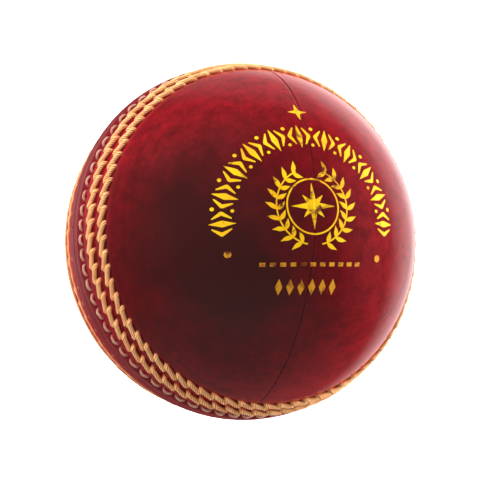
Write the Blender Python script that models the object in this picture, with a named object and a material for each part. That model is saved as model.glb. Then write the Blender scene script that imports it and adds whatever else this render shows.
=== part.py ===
"""A cricket ball: a four-piece leather cover over a quilt of cork and wound yarn, closed by six rows of stitches.

Metres, +Z up. The origin is the ball's centre. The seam stands upright in the XZ plane, and the pole of the
front half, the stamped one, points along -Y. Every piece is placed by three measures: the distance from the
centre, the latitude above the seam plane towards the front pole, and the turn about the Y axis from +Z.
"""

import math

import bmesh
import bpy
from mathutils import Matrix, Vector

# Driving dimensions.
BALL_RADIUS = 0.036
LEATHER_THICKNESS = 0.0029
GAP = 0.0003

# The seam: the raised lip where the halves meet, and three rows of stitches on each side of it.
STITCHES = 74
ROW_LATITUDES = {"inner": math.radians(4.2), "middle": math.radians(10.4), "outer": math.radians(16.7)}
THREAD_RADIUS = {"inner": 0.00036, "middle": 0.0005, "outer": 0.0005}
THREAD_SLANT = {"inner": 0.0003, "middle": 0.0006, "outer": 0.0006}
THREAD_RISE = {"inner": 0.0, "middle": 0.00025, "outer": 0.00025}
STITCH_DIP = 0.0001
STITCH_SHARE = 0.62
LIP_RISE = 0.0006
LIP_HALF_WIDTH = 0.0015
GROOVE_DEPTH = 0.00028
GROOVE_FLARE = 0.00015

# The quilt: a cork nucleus, then wound yarn and cork layers in turn.
NUCLEUS_RADIUS = 0.0145
YARN_THICKNESS = 0.0018
CORK_THICKNESS = {"inner": 0.0036, "outer": 0.0033}
CORK_STRIPS = 4
WINDING_LATITUDE = math.radians(75)
WINDING_TURNS = {"inner": 6, "middle": 8, "outer": 10}

# The quarter seams, and what lies inside the cover along them. The front one leans over by this turn.
QUARTER_SEAM_TURN = math.radians(20)
LINING_RADIUS = 0.0318
LINING_WIDTH = 0.006
LINING_THICKNESS = 0.0004
CLOSING_THREAD_RADIUS = 0.0002
CLOSING_THREAD_SLANT = 0.0009
CLOSING_STITCHES = 16

# Fineness of the faceted shapes.
COVER_COLUMNS = 16
COVER_ARCS = 6
INSIDE_ARCS = 8
CORK_COLUMNS = 6
CORK_ARCS = 10
WINDING_STEPS = 16
LINING_STEPS = 24
NUCLEUS_SEGMENTS = 20
NUCLEUS_RINGS = 10

COLOURS = {
    "leather": ((0.32, 0.022, 0.025), 0.25),
    "stitch_thread": ((0.83, 0.47, 0.2), 0.7),
    "lining_leather": ((0.62, 0.44, 0.3), 0.8),
    "closing_thread": ((0.78, 0.7, 0.55), 0.7),
    "yarn": ((0.72, 0.66, 0.55), 0.9),
    "cork": ((0.5, 0.3, 0.15), 0.85),
}


def remove_everything():
    for thing in list(bpy.data.objects):
        bpy.data.objects.remove(thing)


def material(name):
    """One Principled material for each kind of stuff the ball is made of."""
    known = bpy.data.materials.get(name)
    if known:
        return known
    colour, roughness = COLOURS[name]
    made = bpy.data.materials.new(name)
    made.use_nodes = True
    shader = made.node_tree.nodes["Principled BSDF"]
    shader.inputs["Base Color"].default_value = (*colour, 1.0)
    shader.inputs["Roughness"].default_value = roughness
    shader.inputs["Metallic"].default_value = 0.0
    return made


def place(radius, latitude, turn):
    """The point at a distance from the centre, a latitude towards the front pole and a turn from +Z."""
    across = radius * math.cos(latitude)
    return Vector((across * math.sin(turn), -radius * math.sin(latitude), across * math.cos(turn)))


def finish(name, mesh_maker, stuff, sharp_angle=math.radians(40)):
    """Turns a bmesh into a named, smooth-shaded object with its material."""
    bmesh.ops.recalc_face_normals(mesh_maker, faces=mesh_maker.faces)
    mesh = bpy.data.meshes.new(name)
    mesh_maker.to_mesh(mesh)
    mesh_maker.free()
    mesh.shade_smooth()
    mesh.set_sharp_from_angle(angle=sharp_angle)
    mesh.materials.append(material(stuff))
    made = bpy.data.objects.new(name, mesh)
    bpy.context.scene.collection.objects.link(made)
    return made


def sweep(name, centres, half_width, half_height, stuff, closed):
    """A band or thread of four sides along centres, standing upright on the ball's surface all the way."""
    maker = bmesh.new()
    count = len(centres)
    rings = []
    for i, centre in enumerate(centres):
        before = centres[i - 1] if closed or i else centre
        after = centres[(i + 1) % count] if closed or i < count - 1 else centre
        up = centre.normalized()
        side = up.cross(after - before).normalized()
        ring = []
        for s, u in ((1, 1), (1, -1), (-1, -1), (-1, 1)):
            ring.append(maker.verts.new(centre + side * (half_width * s) + up * (half_height * u)))
        rings.append(ring)
    for i in range(count if closed else count - 1):
        ring = rings[i]
        following = rings[(i + 1) % count]
        for k in range(4):
            following_k = (k + 1) % 4
            maker.faces.new((ring[k], ring[following_k], following[following_k], following[k]))
    if not closed:
        maker.faces.new(rings[0])
        maker.faces.new(reversed(rings[-1]))
    return finish(name, maker, stuff)


def sector(name, profile, angle, columns, stuff):
    """A closed profile of (distance from the Y axis, height along -Y), turned through angle about the Y axis.

    The flat sides keep half a gap from the planes that part the sector from its neighbours.
    """
    maker = bmesh.new()
    half_gap = GAP / 2
    lines = []
    for column in range(columns + 1):
        turn = angle * column / columns
        line = []
        for across, height in profile:
            x = max(across * math.sin(turn), half_gap)
            z = across * math.cos(turn)
            if angle <= math.pi / 2:
                z = max(z, half_gap)
            line.append(maker.verts.new((x, -height, z)))
        lines.append(line)
    for first, second in zip(lines, lines[1:]):
        for i in range(len(profile)):
            k = (i + 1) % len(profile)
            maker.faces.new((first[i], first[k], second[k], second[i]))
    maker.faces.new(lines[0])
    maker.faces.new(lines[-1])
    bmesh.ops.remove_doubles(maker, verts=maker.verts, dist=GAP / 100)
    return finish(name, maker, stuff)


def clear_of(radius, *steps):
    """How far out the corners of facets lie, each spanning these angles, to keep their middles off radius."""
    return radius / math.prod(math.cos(step / 2) for step in steps)


def polar(radius, latitude):
    """A point of a turned profile: its distance from the Y axis, and its height towards the front pole."""
    return radius * math.cos(latitude), radius * math.sin(latitude)


def groove(row):
    """The outline of the groove that a row of stitches lies in, from the pole's side to the seam's."""
    centre = ROW_LATITUDES[row]
    floor_radius = BALL_RADIUS + THREAD_RISE[row] - THREAD_RADIUS[row] - GROOVE_DEPTH
    floor = (THREAD_SLANT[row] + THREAD_RADIUS[row] + GAP) / BALL_RADIUS
    mouth = floor + GROOVE_FLARE / BALL_RADIUS
    return [
        polar(BALL_RADIUS, centre + mouth),
        polar(floor_radius, centre + floor),
        polar(floor_radius, centre - floor),
        polar(BALL_RADIUS, centre - mouth),
    ]


def cover_profile():
    """Half of the cover's section: crown, three grooves, raised lip, and back along the inside."""
    crown_end = groove("outer")[0]
    crown_latitude = math.atan2(crown_end[1], crown_end[0])
    outside = []
    for i in range(COVER_ARCS):
        latitude = math.pi / 2 + (crown_latitude - math.pi / 2) * i / COVER_ARCS
        outside.append(polar(BALL_RADIUS, latitude))
    for row in ("outer", "middle"):
        outside += groove(row)
    # The inner row lies against the lip, so its groove opens straight into the lip's side.
    outside += groove("inner")[:3]
    lip_radius = BALL_RADIUS + LIP_RISE
    outside.append((lip_radius - LIP_RISE / 4, LIP_HALF_WIDTH))
    outside.append((lip_radius, LIP_HALF_WIDTH / 2))
    outside.append((lip_radius, GAP / 2))
    arc = math.pi / 2 / INSIDE_ARCS
    inside_radius = clear_of(BALL_RADIUS - LEATHER_THICKNESS, arc, math.pi / COVER_COLUMNS)
    inside = [(inside_radius, GAP / 2)]
    for i in range(1, INSIDE_ARCS + 1):
        inside.append(polar(inside_radius, arc * i))
    return outside + inside


def make_cover():
    """Four leather quarters; the back pair's joint stands square to the front pair's."""
    profile = cover_profile()
    quarters = {
        "leather_quarter_front_right": (0.0, 0.0),
        "leather_quarter_front_left": (0.0, math.pi),
        "leather_quarter_back_upper": (math.pi, math.pi / 2),
        "leather_quarter_back_lower": (math.pi, -math.pi / 2),
    }
    for name, (flip, turn) in quarters.items():
        quarter = sector(name, profile, math.pi, COVER_COLUMNS, "leather")
        facing = Matrix.Rotation(turn + QUARTER_SEAM_TURN, 3, "Y") @ Matrix.Rotation(flip, 3, "Z")
        quarter.rotation_euler = facing.to_euler()


def make_stitch_row(name, row, side):
    """One row of stitches: a thread that slants away from the pole along each stitch, then steps back."""
    centres = []
    pitch = 2 * math.pi / STITCHES
    across = THREAD_SLANT[row] / BALL_RADIUS
    radius = BALL_RADIUS + THREAD_RISE[row]
    for i in range(STITCHES):
        high = place(radius, side * (ROW_LATITUDES[row] + across), -i * pitch)
        low = place(radius - STITCH_DIP, side * (ROW_LATITUDES[row] - across), -(i + STITCH_SHARE) * pitch)
        centres += [high, low]
    # The section is the square that fits in the round thread.
    half_side = THREAD_RADIUS[row] * math.sqrt(0.5)
    sweep(name, centres, half_side, half_side, "stitch_thread", closed=True)


def make_stitches():
    for side, half in ((1, "front"), (-1, "back")):
        for row in ROW_LATITUDES:
            make_stitch_row(f"stitch_row_{half}_{row}", row, side)


def along_quarter_seam(radius, angle, half):
    """A point over the quarter seam of one half, angle from that half's pole."""
    if half == "front":
        return Vector((0, -radius * math.cos(angle), radius * math.sin(angle)))
    return Vector((radius * math.sin(angle), radius * math.cos(angle), 0))


def across_quarter_seam(half):
    return Vector((1, 0, 0)) if half == "front" else Vector((0, 0, 1))


def make_quarter_seam_lining(half):
    """A thin strip of leather glued over the inside of the joint between two quarters."""
    reach = math.pi / 2 - LINING_WIDTH / BALL_RADIUS
    centres = []
    for i in range(LINING_STEPS + 1):
        angle = reach * (2 * i / LINING_STEPS - 1)
        centres.append(along_quarter_seam(LINING_RADIUS, angle, half))
    name = f"quarter_seam_lining_{half}"
    strip = sweep(name, centres, LINING_WIDTH / 2, LINING_THICKNESS / 2, "lining_leather", closed=False)
    strip.rotation_euler = (0, QUARTER_SEAM_TURN, 0)


def make_quarter_seam_thread(half, radius):
    """The hidden closing thread that zigzags over the joint between two quarters, under the lining."""
    reach = math.pi / 2 - LINING_WIDTH / BALL_RADIUS
    steps = 2 * CLOSING_STITCHES
    centres = []
    for i in range(steps + 1):
        angle = reach * (2 * i / steps - 1)
        side = CLOSING_THREAD_SLANT * (1 if i % 2 else -1)
        on_seam = along_quarter_seam(radius, angle, half)
        centres.append((on_seam + across_quarter_seam(half) * side).normalized() * radius)
    name = f"quarter_seam_thread_{half}"
    thread = sweep(name, centres, CLOSING_THREAD_RADIUS, CLOSING_THREAD_RADIUS, "closing_thread", closed=False)
    thread.rotation_euler = (0, QUARTER_SEAM_TURN, 0)


def make_winding(layer, core_radius, lay):
    """A layer of yarn, wound as one band from pole to pole of its own axis; lay turns that axis.

    It returns how far from the centre the layer reaches.
    """
    inside_radius = clear_of(core_radius + GAP, 2 * math.pi / WINDING_STEPS)
    radius = inside_radius + YARN_THICKNESS / 2
    turns = WINDING_TURNS[layer]
    spacing = 2 * WINDING_LATITUDE * radius / turns
    steps = turns * WINDING_STEPS
    centres = []
    for i in range(steps + 1):
        latitude = WINDING_LATITUDE * (2 * i / steps - 1)
        centres.append(place(radius, latitude, 2 * math.pi * i / WINDING_STEPS))
    half_width = (spacing - GAP) / 2
    band = sweep(f"yarn_winding_{layer}", centres, half_width, YARN_THICKNESS / 2, "yarn", closed=False)
    band.rotation_euler = lay
    return math.hypot(inside_radius + YARN_THICKNESS, half_width)


def make_cork_layer(layer, core_radius, first_turn):
    """A layer of cork strips, each running from pole to pole over a quarter of the ball's girth.

    It returns how far from the centre the layer reaches.
    """
    column = 2 * math.pi / CORK_STRIPS / CORK_COLUMNS
    inside_radius = clear_of(core_radius + GAP, math.pi / CORK_ARCS, column)
    outside_radius = inside_radius + CORK_THICKNESS[layer]
    latitudes = [math.pi * i / CORK_ARCS - math.pi / 2 for i in range(CORK_ARCS + 1)]
    profile = [polar(outside_radius, latitude) for latitude in latitudes]
    profile += [polar(inside_radius, latitude) for latitude in reversed(latitudes)]
    for strip in range(CORK_STRIPS):
        made = sector(f"cork_strip_{layer}_{strip + 1}", profile, math.pi / 2, CORK_COLUMNS, "cork")
        made.rotation_euler = (0, first_turn + strip * 2 * math.pi / CORK_STRIPS, 0)
    return outside_radius


def make_nucleus():
    maker = bmesh.new()
    bmesh.ops.create_uvsphere(
        maker, u_segments=NUCLEUS_SEGMENTS, v_segments=NUCLEUS_RINGS, radius=NUCLEUS_RADIUS
    )
    finish("cork_nucleus", maker, "cork")


def make_quilt():
    """The ball's inside, from the nucleus out: yarn, cork, yarn, cork, yarn."""
    make_nucleus()
    radius = make_winding("inner", NUCLEUS_RADIUS, (0, 0, 0))
    radius = make_cork_layer("inner", radius, 0.0)
    radius = make_winding("middle", radius, (math.pi / 2, 0, 0))
    radius = make_cork_layer("outer", radius, math.pi / CORK_STRIPS)
    make_winding("outer", radius, (math.pi / 2, 0, math.pi / 2))


def make_quarter_seams():
    """What lies along each quarter seam between the quilt and the cover: the lining, and the closing thread."""
    thread_radius = BALL_RADIUS - LEATHER_THICKNESS - GAP - CLOSING_THREAD_RADIUS
    for half in ("front", "back"):
        make_quarter_seam_lining(half)
        make_quarter_seam_thread(half, thread_radius)


remove_everything()
make_cover()
make_stitches()
make_quarter_seams()
make_quilt()
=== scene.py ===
"""The looks of the cricket ball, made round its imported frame.

Metres, +Z up. The seam stands in the XZ plane and the stamped pole points along -Y. A place on the ball is
given as in the frame: a radius, a latitude towards the front pole, and a turn about the Y axis from +Z.
"""

import math

import bmesh
import bpy
import numpy as np
from mathutils import Matrix, Vector


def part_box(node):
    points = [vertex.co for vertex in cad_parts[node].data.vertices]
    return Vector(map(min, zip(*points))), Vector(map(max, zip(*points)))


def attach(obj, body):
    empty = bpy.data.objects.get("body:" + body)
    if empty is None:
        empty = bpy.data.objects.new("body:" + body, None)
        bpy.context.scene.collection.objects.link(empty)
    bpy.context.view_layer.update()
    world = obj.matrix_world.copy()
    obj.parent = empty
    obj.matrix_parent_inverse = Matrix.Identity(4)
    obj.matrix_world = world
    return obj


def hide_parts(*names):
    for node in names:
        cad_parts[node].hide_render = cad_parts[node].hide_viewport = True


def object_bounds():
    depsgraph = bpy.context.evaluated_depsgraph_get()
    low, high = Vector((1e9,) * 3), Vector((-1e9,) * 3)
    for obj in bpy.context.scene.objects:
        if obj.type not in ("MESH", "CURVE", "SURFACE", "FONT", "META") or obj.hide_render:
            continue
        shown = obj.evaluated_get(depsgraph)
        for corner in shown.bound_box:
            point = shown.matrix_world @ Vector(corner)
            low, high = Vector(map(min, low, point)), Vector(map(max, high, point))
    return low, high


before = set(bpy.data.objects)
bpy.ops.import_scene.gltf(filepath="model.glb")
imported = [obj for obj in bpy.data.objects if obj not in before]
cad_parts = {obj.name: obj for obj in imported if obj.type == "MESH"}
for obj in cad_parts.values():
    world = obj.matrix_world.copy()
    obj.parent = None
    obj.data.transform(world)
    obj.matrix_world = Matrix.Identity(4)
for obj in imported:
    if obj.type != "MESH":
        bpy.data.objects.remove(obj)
cad_low, cad_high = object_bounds()

MM = 0.001

# Sizes read from the frame.
quarter_low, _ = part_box("leather_quarter_front_right")
BALL_RADIUS = -quarter_low.y

# How far the near half's quarter joint is turned from upright, as in the frame.
QUARTER_TURN = math.radians(20)

# The stitches, as the frame has them.
STITCHES = 74
PITCH = 2 * math.pi / STITCHES
SIDES = {"front": 1, "back": -1}


def row_latitude(row):
    """The latitude that a row of stitches lies on, from the middle of its CAD node."""
    low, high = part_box(f"stitch_row_front_{row}")
    return math.asin(-(low.y + high.y) / 2 / BALL_RADIUS)


# A stitch of each row: its thread's radius, how far it slants across the row, its length, how far its middle
# stands off the ball's radius, and where along its pitch it starts. The near half's rows stand proud; the far
# half's lie in the leather. Under them the leather has a valley, this wide, and a pit at each stitch's end.
ROWS = {
    "inner": {
        "latitude": row_latitude("inner"),
        "thread": 0.32 * MM,
        "slant": -0.10 * MM,
        "length": 2.7 * MM,
        "rise": {"front": 0.22 * MM, "back": -0.06 * MM},
        "phase": 0.37,
        "valley": 0.9 * MM,
        "pit": 0.30 * MM,
    },
    "middle": {
        "latitude": row_latitude("middle"),
        "thread": 0.52 * MM,
        "slant": 0.66 * MM,
        "length": 3.65 * MM,
        "rise": {"front": 0.27 * MM, "back": -0.46 * MM},
        "phase": 0.81,
        "valley": 1.4 * MM,
        "pit": 0.36 * MM,
    },
    "outer": {
        "latitude": row_latitude("outer"),
        "thread": 0.53 * MM,
        "slant": 0.70 * MM,
        "length": 3.7 * MM,
        "rise": {"front": 0.24 * MM, "back": -0.46 * MM},
        "phase": 0.12,
        "valley": 1.15 * MM,
        "pit": 0.30 * MM,
    },
}

# The camera's place, and its own directions in the world. The outline's share is the ball's width over the
# picture's; the aim is how far the picture's middle lies right of and below the ball's.
CAMERA_AZIMUTH = math.radians(-25.3)
CAMERA_ROLL = math.radians(16.7)
CAMERA_DISTANCE = 16 * BALL_RADIUS
OUTLINE_SHARE = 0.701
AIM_RIGHT = 2.02 * MM
AIM_DOWN = 1.57 * MM
LEVEL_RIGHT = Vector((math.cos(CAMERA_AZIMUTH), math.sin(CAMERA_AZIMUTH), 0))
BACK = Vector((math.sin(CAMERA_AZIMUTH), -math.cos(CAMERA_AZIMUTH), 0))
RIGHT = LEVEL_RIGHT * math.cos(CAMERA_ROLL) - Vector((0, 0, math.sin(CAMERA_ROLL)))
UP = LEVEL_RIGHT * math.sin(CAMERA_ROLL) + Vector((0, 0, math.cos(CAMERA_ROLL)))


# ---------------------------------------------------------------- places on the ball


def place(radius, latitude, turn):
    """Points at these radii, latitudes and turns, as an array with x, y and z last."""
    across = radius * np.cos(latitude)
    return np.stack([across * np.sin(turn), -radius * np.sin(latitude), across * np.cos(turn)], axis=-1)


def row_pitch(row):
    """The length of one stitch's share of a row, on the ball's surface."""
    return PITCH * BALL_RADIUS * math.cos(ROWS[row]["latitude"])


def bell(distance, width):
    """From 1 at zero distance to nearly 0 at twice the width."""
    return np.exp(-((distance / width) ** 2))


def step(distance, softness):
    """From 0 well below zero distance to 1 well above it."""
    return 1 / (1 + np.exp(-np.clip(distance / softness, -40, 40)))


def away(value, period):
    """The signed distance from value to the nearest whole multiple of period."""
    return (value + period / 2) % period - period / 2


# ---------------------------------------------------------------- meshes


def grid_faces(rows, columns, wrap_rows, wrap_columns):
    """The quads of a grid of points, as rows of four indices."""
    last_row = rows if wrap_rows else rows - 1
    last_column = columns if wrap_columns else columns - 1
    r, c = np.meshgrid(np.arange(last_row), np.arange(last_column), indexing="ij")
    r, c = r.ravel(), c.ravel()
    here, below = r * columns, (r + 1) % rows * columns
    next_c = (c + 1) % columns
    return np.stack([here + c, below + c, below + next_c, here + next_c], axis=1)


def add_mesh(name, points, faces, materials, smooth_angle=math.radians(50)):
    """A smooth-shaded object from an array of points and a list of faces."""
    mesh = bpy.data.meshes.new(name)
    mesh.from_pydata(np.asarray(points).reshape(-1, 3).tolist(), [], faces)
    mesh.update()
    mesh.shade_smooth()
    mesh.set_sharp_from_angle(angle=smooth_angle)
    for material in materials:
        mesh.materials.append(material)
    made = bpy.data.objects.new(name, mesh)
    bpy.context.scene.collection.objects.link(made)
    return made


def add_attribute(made, name, values):
    """A number for each point of a mesh, which its material can read."""
    attribute = made.data.attributes.new(name, "FLOAT", "POINT")
    attribute.data.foreach_set("value", np.asarray(values, np.float32).ravel())


def weld(made, distance):
    """Joins the points of a mesh that lie together, such as the ring of them at a pole."""
    body = bmesh.new()
    body.from_mesh(made.data)
    bmesh.ops.remove_doubles(body, verts=body.verts, dist=distance)
    body.to_mesh(made.data)
    body.free()


# ---------------------------------------------------------------- leather cover

LEATHER_THICKNESS = 2.6 * MM
HALF_GAP = 0.001 * MM

# The band of leather beside the seam, which holds the lip and the rows.
BAND_TOP = math.radians(21)
BAND_FADE_START = 0.93 * BAND_TOP
BAND_FADE = math.radians(0.4)

# The lip's height, the distance from the seam at which it ends, and how soft that edge is.
LIP_RISE = 0.57 * MM
LIP_EDGE = 2.0 * MM
LIP_SOFTNESS = 0.11 * MM

# Rises and hollows that run round the seam: how high each is, how far from the seam, and how wide.
RIDGES = (
    (-0.07 * MM, 1.0 * MM, 0.45 * MM),
    (0.09 * MM, 1.72 * MM, 0.16 * MM),
    (-0.22 * MM, 0.0, 0.09 * MM),
    (-0.10 * MM, 8.5 * MM, 1.3 * MM),
)

# The valley's depth under a row, its swelling between stitches, and the pits' depth for their width.
VALLEY_DEPTH = 0.17 * MM
VALLEY_SWELL = 0.05 * MM
PIT_DEPTH_SHARE = 1.2


def stitch_ends(row):
    """Where a row's stitches start and end: their offsets from the row's latitude, and along it."""
    sizes = ROWS[row]
    reach = sizes["length"] / 2
    start = (sizes["slant"], -reach)
    end = (-sizes["slant"], reach)
    return start, end


def seam_relief(height, along):
    """How far the leather stands off the ball's radius near the seam, in metres.

    height is the distance from the seam plane along the surface, and along the distance round the seam.
    """
    relief = LIP_RISE * step(LIP_EDGE - height, LIP_SOFTNESS)
    for rise, middle, width in RIDGES:
        relief += rise * bell(height - middle, width)
    for row, sizes in ROWS.items():
        centre = sizes["latitude"] * BALL_RADIUS
        pitch = row_pitch(row)
        shift = along - sizes["phase"] * pitch
        valley = bell(height - centre, sizes["valley"])
        relief -= VALLEY_DEPTH * valley
        relief += VALLEY_SWELL * valley * np.cos(2 * math.pi * shift / pitch)
        for offset, start in stitch_ends(row):
            pit_across = height - centre - offset
            pit_along = away(shift - start, pitch)
            relief -= PIT_DEPTH_SHARE * sizes["pit"] * bell(np.hypot(pit_across, pit_along), sizes["pit"])
    return relief


CREASES = 9
CREASE_RISE = 0.022 * MM
CREASE_LENGTHS = (1.4 * MM, 4.0 * MM)
CREASE_LATITUDE = math.radians(29)
CREASE_SPREAD = math.radians(9)


def crease_relief(latitude, turn, seed):
    """Faint creases that run round the ball, where the flat leather was drawn over it."""
    chance = np.random.default_rng(seed)
    relief = np.zeros(latitude.shape)
    height = latitude * BALL_RADIUS
    for _ in range(CREASES):
        length = chance.uniform(*CREASE_LENGTHS)
        sway = chance.uniform(0.6, 1.6) * np.sin(chance.integers(1, 4) * turn + chance.uniform(0, 6))
        patch = 0.5 + 0.5 * np.sin(chance.integers(2, 7) * turn + chance.uniform(0, 6))
        relief += patch * np.sin(2 * math.pi * height / length + sway + chance.uniform(0, 6))
    return CREASE_RISE * relief / math.sqrt(CREASES) * bell(latitude - CREASE_LATITUDE, CREASE_SPREAD)


def quarter_relief(from_joint):
    """The fine joint between two quarters: a pressed line with a slight swelling on each side."""
    line = bell(from_joint, 0.13 * MM)
    swelling = bell(np.abs(from_joint) - 0.5 * MM, 0.35 * MM)
    return 0.015 * MM * swelling - 0.11 * MM * line


COLUMNS_PER_STITCH = 8
CLOSE_COLUMNS = np.array([0.05, 0.11, 0.18, 0.27]) * MM
BAND_POINTS = 96
CROWN_POINTS = 36
INSIDE_POINTS = 12


def column_turns():
    """Turns across a quarter, with more of them close to its two edges."""
    even = np.linspace(0, math.pi, STITCHES * COLUMNS_PER_STITCH + 1)
    close = CLOSE_COLUMNS / BALL_RADIUS
    return np.unique(np.concatenate([even, close, math.pi - close]))


def make_quarter(half, name, first_turn, material):
    """One leather quarter with its thickness, from the lip to the pole and back along its inside."""
    band = np.linspace(HALF_GAP / BALL_RADIUS, BAND_TOP, BAND_POINTS)
    crown = np.linspace(BAND_TOP, math.pi / 2, CROWN_POINTS)[1:]
    outside = np.concatenate([band, crown])
    inside = np.linspace(math.pi / 2, HALF_GAP / BALL_RADIUS, INSIDE_POINTS)
    turns = column_turns()
    latitude, turn = np.meshgrid(outside, turns, indexing="xy")
    height = latitude * BALL_RADIUS
    along = -(turn + first_turn) * BALL_RADIUS * np.cos(latitude)
    from_joint = BALL_RADIUS * np.cos(latitude) * np.sin(turn)
    fade = step(BAND_FADE_START - latitude, BAND_FADE)
    relief = seam_relief(height, along) * fade + quarter_relief(from_joint)
    relief += crease_relief(latitude, turn, round(math.degrees(first_turn)) % 360)
    inside_latitude, inside_turn = np.meshgrid(inside, turns, indexing="xy")
    inside_radius = np.full(inside_latitude.shape, BALL_RADIUS - LEATHER_THICKNESS)
    radius = np.concatenate([BALL_RADIUS + relief, inside_radius], axis=1)
    all_latitude = np.concatenate([latitude, inside_latitude], axis=1)
    all_turn = np.concatenate([turn, inside_turn], axis=1)
    points = place(radius, all_latitude * SIDES[half], all_turn)
    x, z = np.maximum(points[..., 0], HALF_GAP), points[..., 2].copy()
    points[..., 0] = x * math.cos(first_turn) + z * math.sin(first_turn)
    points[..., 2] = -x * math.sin(first_turn) + z * math.cos(first_turn)
    count, across = points.shape[:2]
    last = (count - 1) * across
    faces = grid_faces(count, across, False, True).tolist()
    faces.append(list(range(across)))
    faces.append(list(reversed(range(last, last + across))))
    if half == "front":
        faces = [face[::-1] for face in faces]
    made = add_mesh(name, points, faces, [material])
    for attribute, outer, inner in (
        ("relief", relief, 0.0),
        ("height", height, inside_latitude * BALL_RADIUS),
        ("along", along, 0.0),
        ("from_joint", np.abs(from_joint), BALL_RADIUS),
    ):
        under = np.broadcast_to(inner, inside_latitude.shape)
        add_attribute(made, attribute, np.concatenate([outer, under], axis=1) / MM)
    weld(made, HALF_GAP / 10)
    return made


# ---------------------------------------------------------------- stitches


def smooth_path(knots, counts):
    """A smooth closed curve through knots of shape (stitch, knot, 3), with counts points after each knot."""
    flat = knots.reshape(-1, 3)
    each = knots.shape[1]
    pieces = []
    for k, count in enumerate(counts):
        index = np.arange(knots.shape[0]) * each + k
        a, b, c, d = (flat[(index + shift) % len(flat)][:, None, :] for shift in (-1, 0, 1, 2))
        t = (np.arange(count) / count)[None, :, None]
        bend = (2 * a - 5 * b + 4 * c - d) * t**2 + (3 * b - a - 3 * c + d) * t**3
        pieces.append(0.5 * (2 * b + (c - a) * t + bend))
    return np.concatenate(pieces, axis=1).reshape(-1, 3)


def unit(vectors):
    """The vectors, each with a length of 1."""
    return vectors / np.linalg.norm(vectors, axis=-1, keepdims=True)


def stitch_knots(row, half):
    """Knots of one stitch: how far along, across and up each is, and whether it shows.

    The inner row's stitches are short and sink at both ends; the others run level and then dive.
    """
    sizes = ROWS[row]
    reach, slant, rise = sizes["length"] / 2, sizes["slant"], sizes["rise"][half]
    pitch = row_pitch(row)
    if row == "inner":
        return [
            (-reach, slant, -0.85 * MM, False),
            (-reach * 0.62, slant * 0.6, rise - 0.22 * MM, True),
            (-reach * 0.2, slant * 0.2, rise + 0.03 * MM, True),
            (reach * 0.2, -slant * 0.2, rise + 0.03 * MM, True),
            (reach * 0.62, -slant * 0.6, rise - 0.22 * MM, True),
            (reach, -slant, -0.85 * MM, False),
            (pitch / 2, 0.0, -1.3 * MM, False),
        ]
    return [
        (-reach - 0.12 * MM, slant, -0.9 * MM, False),
        (-reach + 0.28 * MM, slant * 0.98, rise - 0.05 * MM, True),
        (-reach * 0.45, slant * 0.5, rise + 0.05 * MM, True),
        (reach * 0.45, -slant * 0.5, rise + 0.05 * MM, True),
        (reach - 0.28 * MM, -slant * 0.98, rise - 0.12 * MM, True),
        (reach + 0.12 * MM, -slant, -0.9 * MM, False),
        (pitch / 2, 0.0, -1.5 * MM, False),
    ]


# How many points of the path follow each knot.
PATH_COUNTS = (4, 5, 5, 5, 4, 2, 2)

# The thread's twisted plies: the grooves' depth as a share of the thread's radius, how blunt each ply is, and
# the angle between a ply and the thread's own direction.
PLIES = 5
PLY_POINTS = 7
GROOVE_SHARE = 0.36
PLY_BLUNTNESS = 0.6
PLY_ANGLE = math.radians(50)

# How much the showing knots vary along, across and up, as a standard deviation.
JITTER = np.array([0.07, 0.05, 0.03]) * MM


def make_stitch_row(name, half, row, material, seed):
    """A row of stitches as one plied thread, which slants over the leather and returns beneath it."""
    sizes = ROWS[row]
    thread = sizes["thread"]
    chance = np.random.default_rng(seed)
    shape = stitch_knots(row, half)
    scale = BALL_RADIUS * math.cos(sizes["latitude"])
    begin = (np.arange(STITCHES) + sizes["phase"]) * PITCH * scale
    knots = np.tile(np.array([knot[:3] for knot in shape]), (STITCHES, 1, 1))
    shown = np.array([knot[3] for knot in shape])[None, :, None]
    knots += np.where(shown, chance.normal(0, 1, knots.shape) * JITTER, 0)
    along, across, up = knots[..., 0] + begin[:, None], knots[..., 1], knots[..., 2]
    latitude = SIDES[half] * (sizes["latitude"] + across / BALL_RADIUS)
    path = smooth_path(place(BALL_RADIUS + up, latitude, -along / scale), PATH_COUNTS)
    tangent = unit(np.roll(path, -1, axis=0) - np.roll(path, 1, axis=0))
    side = unit(np.cross(tangent, path))
    top = np.cross(side, tangent)
    lengths = np.linalg.norm(np.roll(path, -1, axis=0) - path, axis=1)
    travelled = np.concatenate([[0], np.cumsum(lengths)[:-1]])
    turns = round(lengths.sum() * math.tan(PLY_ANGLE) / (2 * math.pi * thread))
    twist = 2 * math.pi * turns * travelled / lengths.sum()
    around = np.linspace(0, 2 * math.pi, PLIES * PLY_POINTS, endpoint=False)
    ply = np.abs(np.cos(PLIES / 2 * around))
    radius = thread * (1 - GROOVE_SHARE + GROOVE_SHARE * ply**PLY_BLUNTNESS)
    angle = around[None, :] - twist[:, None]
    out = side[:, None, :] * np.cos(angle)[..., None] + top[:, None, :] * np.sin(angle)[..., None]
    points = path[:, None, :] + out * radius[None, :, None]
    faces = grid_faces(len(path), len(around), True, True)
    made = add_mesh(name, points, faces.tolist(), [material], math.pi)
    add_attribute(made, "ply", np.broadcast_to(ply, points.shape[:2]))
    # The stain and painted shade are measured from a level a quarter of the row's rise off the ball, so the
    # far half's sunken rows take more of them.
    surface = BALL_RADIUS + sizes["rise"][half] / 4
    add_attribute(made, "rise", (np.linalg.norm(points, axis=2) - surface) / MM)
    return made


# ---------------------------------------------------------------- gold motif

# The motif is drawn flat, in millimetres right and up of its middle, and laid over the front pole.
MOTIF_TURN = math.radians(15.1)
MOTIF_MIDDLE = np.array([-0.5, -0.4])
FOIL_STEP = 0.16
LEAST_ROWS = 6
LEAST_COLUMNS = 3
FOIL_HEIGHT = 0.022 * MM
FOIL_ROOT = -0.2 * MM


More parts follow.
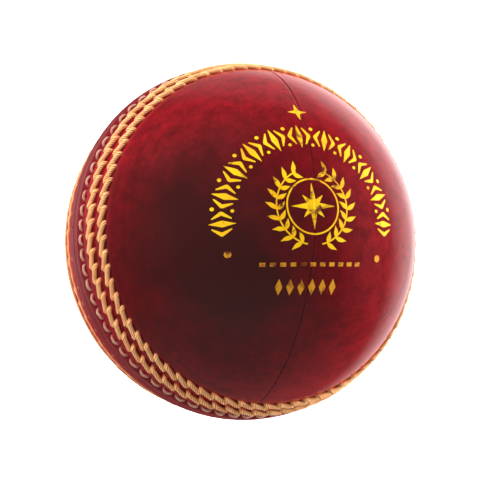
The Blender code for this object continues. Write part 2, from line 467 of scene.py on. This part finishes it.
def lay_on_ball(flat, lift):
    """Flat motif points wrapped over the front pole, lifted off the leather by this much."""
    right, up = (flat + MOTIF_MIDDLE).T * MM
    angle = np.hypot(right, up) / BALL_RADIUS
    turn = MOTIF_TURN + np.arctan2(right, up)
    from_joint = BALL_RADIUS * np.sin(angle) * np.sin(turn - QUARTER_TURN)
    return place(BALL_RADIUS + quarter_relief(from_joint) + lift, math.pi / 2 - angle, turn)


def stroke(spine, width):
    """One closed strip of foil along a flat spine; width is a number or one for each point."""
    spine = np.asarray(spine, float)
    lengths = np.concatenate([[0], np.cumsum(np.linalg.norm(np.diff(spine, axis=0), axis=1))])
    count = max(LEAST_ROWS, int(lengths[-1] / FOIL_STEP))
    even = np.linspace(0, lengths[-1], count)
    path = np.stack([np.interp(even, lengths, spine[:, k]) for k in (0, 1)], axis=1)
    widths = np.interp(even, lengths, np.broadcast_to(np.asarray(width, float), lengths.shape))
    ahead = np.gradient(path, axis=0)
    ahead /= np.linalg.norm(ahead, axis=1, keepdims=True)
    across = np.stack([-ahead[:, 1], ahead[:, 0]], axis=1)
    columns = max(LEAST_COLUMNS, int(widths.max() / FOIL_STEP / 2) * 2 + 1)
    offsets = np.linspace(-0.5, 0.5, columns)[None, :, None]
    flat = path[:, None, :] + across[:, None, :] * offsets * widths[:, None, None]
    top = lay_on_ball(flat.reshape(-1, 2), FOIL_HEIGHT).reshape(count, columns, 3)
    root = lay_on_ball(flat[:, ::-1].reshape(-1, 2), FOIL_ROOT).reshape(count, columns, 3)
    points = np.concatenate([top, root], axis=1)
    around = 2 * columns
    faces = grid_faces(count, around, False, True).tolist()
    end = (count - 1) * around
    for k in range(columns - 1):
        opposite = around - 1 - k
        faces.append([opposite, opposite - 1, k + 1, k])
        faces.append([end + k, end + k + 1, end + opposite - 1, end + opposite])
    return points.reshape(-1, 3), faces


ARC_POINTS = 90
SPINE_POINTS = 24
RAY_POINTS = 16
TIP_WIDTH = 0.06
FINE_TIP_WIDTH = 0.05

# Strokes that meet at a point reach a little past it, so that no two of them share an edge.
LEAF_OVERLAP = 0.04
RAY_OVERLAP_SHARE = 0.02
RING_OVERLAP = 1


def arc_line(radius, start, end):
    """Points round the motif's middle from one bearing to another, clockwise from up, in degrees."""
    bearing = np.radians(np.linspace(start, end, ARC_POINTS))
    return np.stack([radius * np.sin(bearing), radius * np.cos(bearing)], axis=1)


def turned(points, bearing, move=(0.0, 0.0)):
    """Flat points turned clockwise by a bearing in degrees, then moved."""
    angle = math.radians(bearing)
    x, y = np.asarray(points, float).T
    right = x * math.cos(angle) + y * math.sin(angle)
    up = -x * math.sin(angle) + y * math.cos(angle)
    return np.stack([right, up], axis=1) + np.asarray(move)


def leaf(length, width, bend):
    """The spine and widths of a leaf that starts at the middle and points up, fullest below its half."""
    share = np.linspace(0, 1, SPINE_POINTS)
    spine = np.stack([bend * np.sin(math.pi * share), length * share - LEAF_OVERLAP], axis=1)
    return spine, TIP_WIDTH + width * np.sin(math.pi * share**0.8) ** 1.2


def diamond(length, width):
    """The spine and widths of an upright diamond round the middle."""
    share = np.linspace(0, 1, SPINE_POINTS)
    spine = np.stack([0 * share, length * (share - 0.5)], axis=1)
    return spine, TIP_WIDTH + width * (1 - np.abs(2 * share - 1))


def spot(radius):
    """The spine and widths of a round spot about the middle, a shade narrower than it is tall."""
    share = np.linspace(0, 1, SPINE_POINTS)
    spine = np.stack([0 * share, 2 * radius * (share - 0.5)], axis=1)
    return spine, FINE_TIP_WIDTH + 2 * radius * np.sqrt(1 - (2 * share - 1) ** 2) * 0.97


GARLAND_RADIUS = 18.1
GARLAND_REACH = 90
GARLAND_SHAPES = 11
GARLAND_DIAMOND = (5.4, 1.35)
CHEVRON = ((1.05, 2.1), (2.15, 0.1), (1.05, -1.9))
CHEVRON_WIDTHS = (0.25, 0.85, 0.25)

# The radius that each ring of spots lies on, and the spots' own radius.
GARLAND_SPOTS = ((GARLAND_RADIUS + 2.1, 0.42), (GARLAND_RADIUS - 1.9, 0.36))


def garland():
    """An arc of diamonds between chevrons, with spots between them."""
    parts = []
    for bearing in np.linspace(-GARLAND_REACH, GARLAND_REACH, GARLAND_SHAPES):
        middle = arc_line(GARLAND_RADIUS, bearing, bearing)[0]
        spine, widths = diamond(*GARLAND_DIAMOND)
        parts.append((turned(spine, bearing, middle), widths))
        for side in (-1, 1):
            chevron = [(side * right, up) for right, up in CHEVRON]
            parts.append((turned(chevron, bearing, middle), CHEVRON_WIDTHS))
    gap = 2 * GARLAND_REACH / (GARLAND_SHAPES - 1)
    for bearing in np.arange(-GARLAND_REACH + gap / 2, GARLAND_REACH, gap):
        for radius, size in GARLAND_SPOTS:
            spine, widths = spot(size)
            parts.append((spine + arc_line(radius, bearing, bearing)[0], widths))
    return parts


def star(middle, rays, long_ray, short_ray, width):
    """Rays round a middle, long and short in turn, each tapering to its tip."""
    parts = []
    for ray in range(rays):
        length = long_ray if ray % 2 == 0 else short_ray
        share = np.linspace(-RAY_OVERLAP_SHARE, 1, RAY_POINTS)
        spine = np.stack([0 * share, length * share], axis=1)
        parts.append((turned(spine, 360 / rays * ray, middle), FINE_TIP_WIDTH + width * (1 - share)))
    return parts


RING_RADIUS = 5.5
RING_WIDTH = 0.34
BRANCH_RADIUS = 7.6
BRANCH_WIDTH = 0.3
BRANCH_ENDS = (168, 22)
LEAF_BEARINGS = np.linspace(160, 28, 9)
LEAF_WIDTH = 0.85
LEAF_BEND = 0.15

# How each leaf of a pair is turned from its branch's bearing, and its length.
LEAF_PAIR = ((-38, 2.7), (-142, 2.3))


def wreath(middle):
    """Two branches of leaves round a ring with an eight-pointed star in it."""
    parts = [(arc_line(RING_RADIUS, 0, 360 + RING_OVERLAP) + middle, RING_WIDTH)]
    parts += star(middle, rays=8, long_ray=4.6, short_ray=3.1, width=1.7)
    for side in (-1, 1):
        low_end, high_end = BRANCH_ENDS
        parts.append((arc_line(BRANCH_RADIUS, side * low_end, side * high_end) + middle, BRANCH_WIDTH))
        for bearing in LEAF_BEARINGS:
            foot = arc_line(BRANCH_RADIUS, side * bearing, side * bearing)[0] + middle
            for turn, size in LEAF_PAIR:
                spine, widths = leaf(size, LEAF_WIDTH, LEAF_BEND)
                parts.append((turned(spine, side * (bearing + turn), foot), widths))
    return parts


# Where the motif's shapes lie, right and up of its middle, and their sizes.
WREATH_MIDDLE = (0.3, 3.0)
TOP_STAR_MIDDLE = (1.6, 24.6)
DASHES = np.linspace(-10.4, 10.4, 11)
DASH_UP = -8.4
DASH_REACH = 0.6
DASH_WIDTH = 0.8
LOW_DIAMONDS = np.linspace(-6.9, 4.7, 6)
LOW_DIAMOND_UP = -12.9
LOW_DIAMOND = (3.2, 1.5)
SIDE_SPOTS = ((-17.2, -6.2), (16.0, -7.2))
SIDE_SPOT_RADIUS = 0.75


def motif_parts():
    """Every stroke of the motif: its spine, its width and how worn it is."""
    bright = garland() + wreath(WREATH_MIDDLE)
    bright += star(TOP_STAR_MIDDLE, rays=4, long_ray=2.2, short_ray=2.2, width=1.1)
    rubbed = []
    for right in DASHES:
        dash = [(right - DASH_REACH, DASH_UP), (right + DASH_REACH, DASH_UP)]
        rubbed.append((dash, DASH_WIDTH))
    for right in LOW_DIAMONDS:
        spine, widths = diamond(*LOW_DIAMOND)
        rubbed.append((spine + (right, LOW_DIAMOND_UP), widths))
    for middle in SIDE_SPOTS:
        spine, widths = spot(SIDE_SPOT_RADIUS)
        rubbed.append((spine + middle, widths))
    return [(*part, 0.0) for part in bright] + [(*part, 1.0) for part in rubbed]


def make_motif(name, material):
    """All of the motif's strokes as one object."""
    points, faces, wear, count = [], [], [], 0
    for spine, width, worn in motif_parts():
        strip, strip_faces = stroke(spine, width)
        points.append(strip)
        wear.append(np.full(len(strip), worn))
        faces += [[count + k for k in face] for face in strip_faces]
        count += len(strip)
    made = add_mesh(name, np.concatenate(points), faces, [material], math.radians(40))
    add_attribute(made, "wear", np.concatenate(wear))
    return made


# ---------------------------------------------------------------- materials


class Nodes:
    """A short way to write a material's nodes.

    Noise scales are counts per metre; the "height", "along", "relief", "rise" and "from_joint" attributes are
    in millimetres.
    """

    def __init__(self, name):
        self.material = bpy.data.materials.new(name)
        self.material.use_nodes = True
        self.tree = self.material.node_tree
        self.shader = self.tree.nodes["Principled BSDF"]
        self.place = self.add("ShaderNodeTexCoord").outputs["Object"]

    def add(self, kind, **settings):
        node = self.tree.nodes.new(kind)
        for key, value in settings.items():
            setattr(node, key, value)
        return node

    def link(self, source, target):
        self.tree.links.new(source, target)

    def put(self, target, value):
        if isinstance(value, bpy.types.NodeSocket):
            self.link(value, target)
        else:
            target.default_value = value

    def set(self, **values):
        for key, value in values.items():
            self.put(self.shader.inputs[key.replace("_", " ")], value)

    def noise(self, scale, detail=3.0, roughness=0.5):
        node = self.add("ShaderNodeTexNoise")
        self.link(self.place, node.inputs["Vector"])
        node.inputs["Scale"].default_value = scale
        node.inputs["Detail"].default_value = detail
        node.inputs["Roughness"].default_value = roughness
        return node.outputs["Fac"]

    def seamwise_noise(self, across, along, detail):
        """Streaks that run round the ball beside the seam, finer across than along."""
        joined = self.add("ShaderNodeCombineXYZ")
        self.link(self.math("MULTIPLY", self.attribute("height"), across), joined.inputs["X"])
        self.link(self.math("MULTIPLY", self.attribute("along"), along), joined.inputs["Y"])
        node = self.add("ShaderNodeTexNoise")
        self.link(joined.outputs["Vector"], node.inputs["Vector"])
        node.inputs["Scale"].default_value = 1.0
        node.inputs["Detail"].default_value = detail
        return node.outputs["Fac"]

    def cells(self, scale, feature="F1"):
        node = self.add("ShaderNodeTexVoronoi", feature=feature)
        self.link(self.place, node.inputs["Vector"])
        node.inputs["Scale"].default_value = scale
        return node.outputs["Distance"]

    def attribute(self, name):
        return self.add("ShaderNodeAttribute", attribute_name=name).outputs["Fac"]

    def ranged(self, value, low, high, to_low=0.0, to_high=1.0):
        """The value's place between low and high, spread from to_low to to_high."""
        node = self.add("ShaderNodeMapRange")
        self.put(node.inputs["Value"], value)
        for key, number in (("From Min", low), ("From Max", high), ("To Min", to_low), ("To Max", to_high)):
            node.inputs[key].default_value = number
        return node.outputs["Result"]

    def math(self, operation, first, second=0.0):
        node = self.add("ShaderNodeMath", operation=operation)
        self.put(node.inputs[0], first)
        self.put(node.inputs[1], second)
        return node.outputs["Value"]

    def mix(self, share, first, second):
        """A colour this share of the way from the first to the second."""
        node = self.add("ShaderNodeMix", data_type="RGBA")
        self.put(node.inputs["Factor"], share)
        self.put(node.inputs["A"], first)
        self.put(node.inputs["B"], second)
        return node.outputs["Result"]

    def bump(self, height, distance, strength=1.0, normal=None):
        node = self.add("ShaderNodeBump")
        node.inputs["Strength"].default_value = strength
        node.inputs["Distance"].default_value = distance
        self.link(height, node.inputs["Height"])
        if normal:
            self.link(normal, node.inputs["Normal"])
        return node.outputs["Normal"]


# The dark patch's middle, on the side that faces the camera: partly handling wear, partly painted shade.
SHADED_PATCH_MIDDLE = (RIGHT * -0.12 - UP * 0.12 + BACK * 0.96).normalized()
SHADED_PATCH_BLOTCHES = 0.35


def handled_and_shaded_patch(n):
    """How dark a place is made, most below the motif on the side that faces the camera, with a blotchy edge:
    partly handling wear, partly painted shade.
    """
    dot = n.add("ShaderNodeVectorMath", operation="DOT_PRODUCT")
    n.link(n.place, dot.inputs[0])
    dot.inputs[1].default_value = SHADED_PATCH_MIDDLE
    near = n.math("DIVIDE", dot.outputs["Value"], BALL_RADIUS)
    blotchy = n.math("ADD", near, n.math("MULTIPLY", n.noise(60, 5, 0.6), SHADED_PATCH_BLOTCHES))
    return n.ranged(blotchy, 0.74, 1.14)


DYES = {
    "dark": (0.105, 0.002, 0.004, 1),
    "bright": (0.215, 0.003, 0.007, 1),
    "mottle": (0.085, 0.003, 0.005, 1),
    "beside_rows": (0.27, 0.003, 0.014, 1),
    "dark_streak": (0.055, 0.003, 0.004, 1),
    "bright_streak": (0.20, 0.003, 0.008, 1),
    # partly handling wear, partly painted shade
    "handling_wear_and_shade": (0.034, 0.004, 0.004, 1),
    "speck": (0.05, 0.003, 0.004, 1),
    "lip_dark": (0.085, 0.009, 0.011, 1),
    "lip_rubbed": (0.18, 0.038, 0.036, 1),
    # painted shade for the stitch pits
    "painted_pit_shade": (0.035, 0.001, 0.002, 1),
    "joint": (0.015, 0.001, 0.002, 1),
}


def leather_dye(n, streaks):
    """The leather's colour: blotches, streaks, a dark patch that is partly handling wear and partly painted
    shade, the lip, painted shade in the stitch pits, and the joint.
    """
    height = n.attribute("height")
    blotches = n.ranged(n.noise(330, 6, 0.7), 0.38, 0.60)
    dye = n.mix(blotches, DYES["dark"], DYES["bright"])
    mottle = n.ranged(n.noise(1100, 3, 0.7), 0.35, 0.7, 0, 0.5)
    dye = n.mix(mottle, dye, DYES["mottle"])
    beside_rows = n.ranged(height, 13.0, 11.2, 0, 0.75)
    dye = n.mix(beside_rows, dye, DYES["beside_rows"])
    below_crown = n.ranged(height, 34, 24)
    dark_streaks = n.math("MULTIPLY", n.ranged(streaks, 0.52, 0.70, 0, 0.4), below_crown)
    dye = n.mix(dark_streaks, dye, DYES["dark_streak"])
    bright_streaks = n.math("MULTIPLY", n.ranged(streaks, 0.44, 0.34, 0, 0.3), below_crown)
    dye = n.mix(bright_streaks, dye, DYES["bright_streak"])
    # Painted shade, partly handling wear: the patch on the side that faces the camera is darkened.
    dye = n.mix(handled_and_shaded_patch(n), dye, DYES["handling_wear_and_shade"])
    specks = n.ranged(n.cells(620), 0.05, 0.13, 0.5, 0)
    dye = n.mix(specks, dye, DYES["speck"])
    rubbed = n.ranged(n.seamwise_noise(5.0, 0.25, 4), 0.35, 0.7)
    lip_dye = n.mix(rubbed, DYES["lip_dark"], DYES["lip_rubbed"])
    lip = n.ranged(height, 2.1, 1.7, 0, 0.85)
    dye = n.mix(lip, dye, lip_dye)
    # Painted shade: the stitch pits, the deepest places of the relief, are made nearly black.
    painted_pit_shade = n.ranged(n.attribute("relief"), -0.26, -0.6)
    dye = n.mix(painted_pit_shade, dye, DYES["painted_pit_shade"])
    joint = n.ranged(n.attribute("from_joint"), 0.02, 0.16, 0.85, 0)
    return n.mix(joint, dye, DYES["joint"])


def leather_material():
    """Deep red dyed leather under a hard, slightly uneven lacquer."""
    n = Nodes("lacquered_red_leather")
    streaks = n.seamwise_noise(0.8, 0.06, 5)
    grain = n.math("ADD", n.cells(1500), n.math("MULTIPLY", n.noise(900, 4), 0.6))
    waves = n.math("ADD", n.noise(170, 3), n.math("MULTIPLY", streaks, 0.35))
    n.set(Base_Color=leather_dye(n, streaks), Roughness=0.5, Specular_IOR_Level=0.0)
    n.set(Coat_Weight=1.0, Coat_Roughness=0.15, Coat_IOR=1.5)
    n.set(Sheen_Weight=0.3, Sheen_Roughness=0.4, Sheen_Tint=(1.0, 0.02, 0.03, 1))
    n.set(Normal=n.bump(grain, 0.03 * MM, 0.5, n.bump(waves, 0.05 * MM, 0.6)))
    n.set(Coat_Normal=n.bump(waves, 0.07 * MM, 0.7))
    return n.material


def thread_material(name, bright, shade, stain_and_shade):
    """Waxed linen thread: painted highlight on the plies' crowns and painted shade between them; red low on
    the thread where it enters the leather, partly a real stain and partly painted shade.
    """
    n = Nodes(name)
    fibre = n.noise(2600, 4, 0.6)
    tint = n.ranged(n.noise(420, 3, 0.6), 0.42, 0.62, 0, 0.33)
    # Painted highlight and painted shade: each ply's crown takes the bright colour, the grooves between plies
    # the shade colour.
    colour = n.mix(n.ranged(n.attribute("ply"), 0.35, 0.85), shade, bright)
    colour = n.mix(n.ranged(fibre, 0.3, 0.75, 0.25, 0), colour, shade)
    colour = n.mix(tint, colour, shade)
    # Stain and painted shade: the thread turns redder and darker the lower it lies towards the leather.
    colour = n.mix(n.ranged(n.attribute("rise"), 0.3, -0.4), colour, stain_and_shade)
    n.set(Base_Color=colour, Roughness=0.6, Specular_IOR_Level=0.2)
    n.set(Normal=n.bump(fibre, 0.05 * MM, 0.5))
    return n.material


def foil_material():
    """Gold foil pressed into the lacquer, worn through to the leather in small patches."""
    n = Nodes("gold_foil")
    rubbed = n.attribute("wear")
    flecks = n.math("ADD", n.noise(420, 5, 0.65), n.math("MULTIPLY", n.noise(90, 2), 0.5))
    flecks = n.math("ADD", flecks, n.math("MULTIPLY", rubbed, 0.07))
    worn = n.ranged(flecks, 0.82, 0.95)
    gold = n.mix(n.ranged(n.noise(160, 3), 0.35, 0.65), (1.0, 0.62, 0.008, 1), (0.92, 0.46, 0.006, 1))
    gold = n.mix(n.math("MULTIPLY", rubbed, 0.7), gold, (0.55, 0.19, 0.02, 1))
    n.set(Base_Color=n.mix(worn, gold, (0.11, 0.01, 0.01, 1)))
    n.set(Metallic=0.25, Roughness=0.45, Specular_IOR_Level=0.25)
    n.set(Normal=n.bump(n.noise(600, 4), 0.02 * MM, 0.5))
    return n.material


def cork_material():
    """Pressed cork: pale granules with dark bark between them."""
    n = Nodes("natural_cork")
    granules = n.noise(320, 4, 0.7)
    cork = n.mix(n.ranged(granules, 0.35, 0.65), (0.42, 0.22, 0.09, 1), (0.62, 0.40, 0.20, 1))
    bark = n.ranged(n.cells(380, "DISTANCE_TO_EDGE"), 0.0, 0.09, 0.7, 0)
    cork = n.mix(bark, cork, (0.13, 0.05, 0.02, 1))
    pores = n.ranged(n.cells(900), 0.1, 0.2, 0.8, 0)
    cork = n.mix(pores, cork, (0.08, 0.03, 0.015, 1))
    n.set(Base_Color=cork, Roughness=0.85, Specular_IOR_Level=0.2)
    n.set(Normal=n.bump(n.math("SUBTRACT", granules, pores), 0.15 * MM, 0.7))
    return n.material


def yarn_material():
    """Undyed wool yarn with loose fibres and painted shade in its hollows."""
    n = Nodes("undyed_wool_yarn")
    fibres = n.noise(1500, 5, 0.7)
    wool = n.mix(n.ranged(n.noise(130, 3), 0.35, 0.65), (0.62, 0.54, 0.42, 1), (0.78, 0.72, 0.60, 1))
    # Painted shade: the wool is darker where the fibre bump is lowest.
    wool = n.mix(n.ranged(fibres, 0.35, 0.6, 0.6, 0), wool, (0.36, 0.28, 0.19, 1))
    n.set(Base_Color=wool, Roughness=0.95, Specular_IOR_Level=0.1)
    n.set(Sheen_Weight=0.4, Sheen_Roughness=0.6)
    n.set(Normal=n.bump(fibres, 0.12 * MM, 0.8))
    return n.material


def lining_material():
    """The raw flesh side of leather: short nap and paler, stretched places."""
    n = Nodes("raw_flesh_side_leather")
    nap = n.noise(1300, 5, 0.75)
    hide = n.mix(n.ranged(n.noise(150, 4), 0.35, 0.65), (0.50, 0.32, 0.19, 1), (0.68, 0.49, 0.33, 1))
    hide = n.mix(n.ranged(nap, 0.35, 0.62, 0.5, 0), hide, (0.33, 0.19, 0.11, 1))
    n.set(Base_Color=hide, Roughness=0.9, Specular_IOR_Level=0.2)
    n.set(Normal=n.bump(nap, 0.08 * MM, 0.7))
    return n.material


def closing_thread_material():
    """Waxed linen thread: a dull sheen over darker fibre."""
    n = Nodes("waxed_closing_thread")
    fibre = n.noise(3200, 3, 0.6)
    linen = n.mix(n.ranged(fibre, 0.35, 0.65), (0.55, 0.43, 0.27, 1), (0.84, 0.76, 0.60, 1))
    n.set(Base_Color=linen, Roughness=0.5, Specular_IOR_Level=0.4)
    n.set(Normal=n.bump(fibre, 0.05 * MM, 0.6))
    return n.material


# ---------------------------------------------------------------- camera, lights, floor


def make_camera():
    """The camera, as far off and as rolled as its named values say."""
    data = bpy.data.cameras.new("camera")
    data.sensor_width = 36
    data.clip_start = 0.01
    data.clip_end = 50
    half_angle = math.asin(BALL_RADIUS / CAMERA_DISTANCE)
    data.lens = data.sensor_width * OUTLINE_SHARE / 2 / math.tan(half_angle)
    camera = bpy.data.objects.new("camera", data)
    bpy.context.scene.collection.objects.link(camera)
    facing = Matrix((RIGHT, UP, BACK)).transposed().to_4x4()
    stand = BACK * CAMERA_DISTANCE + RIGHT * AIM_RIGHT - UP * AIM_DOWN
    camera.matrix_world = Matrix.Translation(stand) @ facing
    bpy.context.scene.camera = camera


def toward(right, up, back):
    """The world direction with these parts along the camera's right, up and back."""
    return (RIGHT * right + UP * up + BACK * back).normalized()


SPREAD = math.radians(70)
LAMPS = {
    # the direction that the light comes from, and its strength
    "key_top_left": ((-0.35, 0.93, 0.0), 4.6),
    "side_right": ((0.9, 0.1, -0.32), 8.0),
    "side_upper_right": ((0.7, 0.7, -0.15), 0.8),
    "side_left": ((-0.8, 0.2, 0.2), 2.2),
    "below_behind": ((-0.3, -0.55, -0.75), 2.6),
    "front_fill": ((-0.3, 0.2, 0.9), 1.7),
}


def make_lamps():
    """Broad soft lamps that light the ball's colour and leave no highlight of their own in its gloss."""
    for name, (direction, strength) in LAMPS.items():
        data = bpy.data.lights.new(name, "SUN")
        data.angle = SPREAD
        data.energy = strength
        lamp = bpy.data.objects.new(name, data)
        bpy.context.scene.collection.objects.link(lamp)
        lamp.rotation_euler = toward(*direction).to_track_quat("Z", "Y").to_euler()
        lamp.visible_glossy = False


AMBIENT = 0.07
PANELS = [
    # the direction of a white panel's middle, the angles from there to the start and end of its fade,
    # and how bright it is
    ((0.45, 0.13, -0.88), 12, 42, 1.0),
    ((0.30, 0.12, -0.95), 3, 18, 0.6),
    ((0.15, 0.72, -0.68), 6, 36, 0.35),
    ((-0.1, -0.1, 1.0), 20, 80, 0.08),
    ((0.0, -0.95, 0.1), 10, 75, 0.15),
    ((-0.75, 0.15, -0.6), 8, 34, 0.35),
]


def make_world():
    """Surroundings with large white panels that fade out softly, which the gloss reflects."""
    world = bpy.data.worlds.new("studio")
    world.use_nodes = True
    tree = world.node_tree
    seen = tree.nodes.new("ShaderNodeTexCoord").outputs["Generated"]
    total = None
    for direction, full, faded, strength in PANELS:
        dot = tree.nodes.new("ShaderNodeVectorMath")
        dot.operation = "DOT_PRODUCT"
        tree.links.new(seen, dot.inputs[0])
        dot.inputs[1].default_value = toward(*direction)
        fade = tree.nodes.new("ShaderNodeMapRange")
        fade.interpolation_type = "SMOOTHSTEP"
        tree.links.new(dot.outputs["Value"], fade.inputs["Value"])
        fade.inputs["From Min"].default_value = math.cos(math.radians(faded))
        fade.inputs["From Max"].default_value = math.cos(math.radians(full))
        fade.inputs["To Max"].default_value = strength
        add = tree.nodes.new("ShaderNodeMath")
        tree.links.new(fade.outputs["Result"], add.inputs[0])
        if total:
            tree.links.new(total, add.inputs[1])
        else:
            add.inputs[1].default_value = AMBIENT
        total = add.outputs["Value"]
    tree.links.new(total, tree.nodes["Background"].inputs["Strength"])
    tree.nodes["Background"].inputs["Color"].default_value = (1, 1, 1, 1)
    bpy.context.scene.world = world


STAGE_GLOW = 1.2
FLOOR_SIZE = 5
BACKDROP_RADIUS = 4


def glowing(name):
    """Even white that needs no light."""
    material = bpy.data.materials.new(name)
    material.use_nodes = True
    shader = material.node_tree.nodes["Principled BSDF"]
    shader.inputs["Base Color"].default_value = (0.9, 0.9, 0.9, 1)
    shader.inputs["Roughness"].default_value = 1
    shader.inputs["Emission Color"].default_value = (1, 1, 1, 1)
    shader.inputs["Emission Strength"].default_value = STAGE_GLOW
    return material


def camera_only(made):
    """Stage dressing that the camera sees and the ball neither reflects nor casts a shadow on."""
    made.visible_diffuse = False
    made.visible_glossy = False
    made.visible_transmission = False
    made.visible_shadow = False


def make_stage():
    """A white floor under the ball and a white backdrop all round."""
    bpy.ops.mesh.primitive_plane_add(size=FLOOR_SIZE, location=(0, 0, cad_low.z))
    floor = bpy.context.object
    floor.name = "floor"
    floor.data.materials.append(glowing("white_floor"))
    bpy.ops.mesh.primitive_uv_sphere_add(radius=BACKDROP_RADIUS, segments=64, ring_count=32)
    backdrop = bpy.context.object
    backdrop.name = "backdrop"
    backdrop.data.materials.append(glowing("white_backdrop"))
    camera_only(floor)
    camera_only(backdrop)
    bpy.context.scene.view_settings.view_transform = "Standard"


# ---------------------------------------------------------------- the ball

make_camera()
make_lamps()
make_world()
make_stage()

leather = leather_material()
for half, side, first_turn in (
    ("front", "right", QUARTER_TURN),
    ("front", "left", QUARTER_TURN + math.pi),
    ("back", "upper", QUARTER_TURN - math.pi / 2),
    ("back", "lower", QUARTER_TURN + math.pi / 2),
):
    cover = make_quarter(half, f"cover_quarter_{half}_{side}", first_turn, leather)
    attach(cover, "root")
    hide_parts(f"leather_quarter_{half}_{side}")

outer_thread = thread_material(
    "waxed_linen_thread",
    bright=(1.0, 0.67, 0.32, 1),
    shade=(0.6, 0.16, 0.03, 1),
    stain_and_shade=(0.5, 0.08, 0.02, 1),
)
# The inner rows' thread: pinkish, and darker than the outer thread as painted shade for the groove that these
# rows lie in.
inner_thread = thread_material(
    "pinkish_linen_thread_with_painted_shade",
    bright=(0.82, 0.50, 0.36, 1),
    shade=(0.36, 0.11, 0.07, 1),
    stain_and_shade=(0.2, 0.02, 0.02, 1),
)
for number, (half, row) in enumerate((h, r) for h in SIDES for r in ROWS):
    thread = inner_thread if row == "inner" else outer_thread
    stitches = make_stitch_row(f"stitches_{half}_{row}", half, row, thread, number)
    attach(stitches, "root")
    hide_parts(f"stitch_row_{half}_{row}")

motif = make_motif("gold_foil_motif", foil_material())
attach(motif, "root")

# The core keeps its CAD solids, with a material for each.
core_materials = {
    "cork_": cork_material(),
    "yarn_winding_": yarn_material(),
    "quarter_seam_lining_": lining_material(),
    "quarter_seam_thread_": closing_thread_material(),
}
for name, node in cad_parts.items():
    for start, material in core_materials.items():
        if name.startswith(start):
            node.material_slots[0].material = material
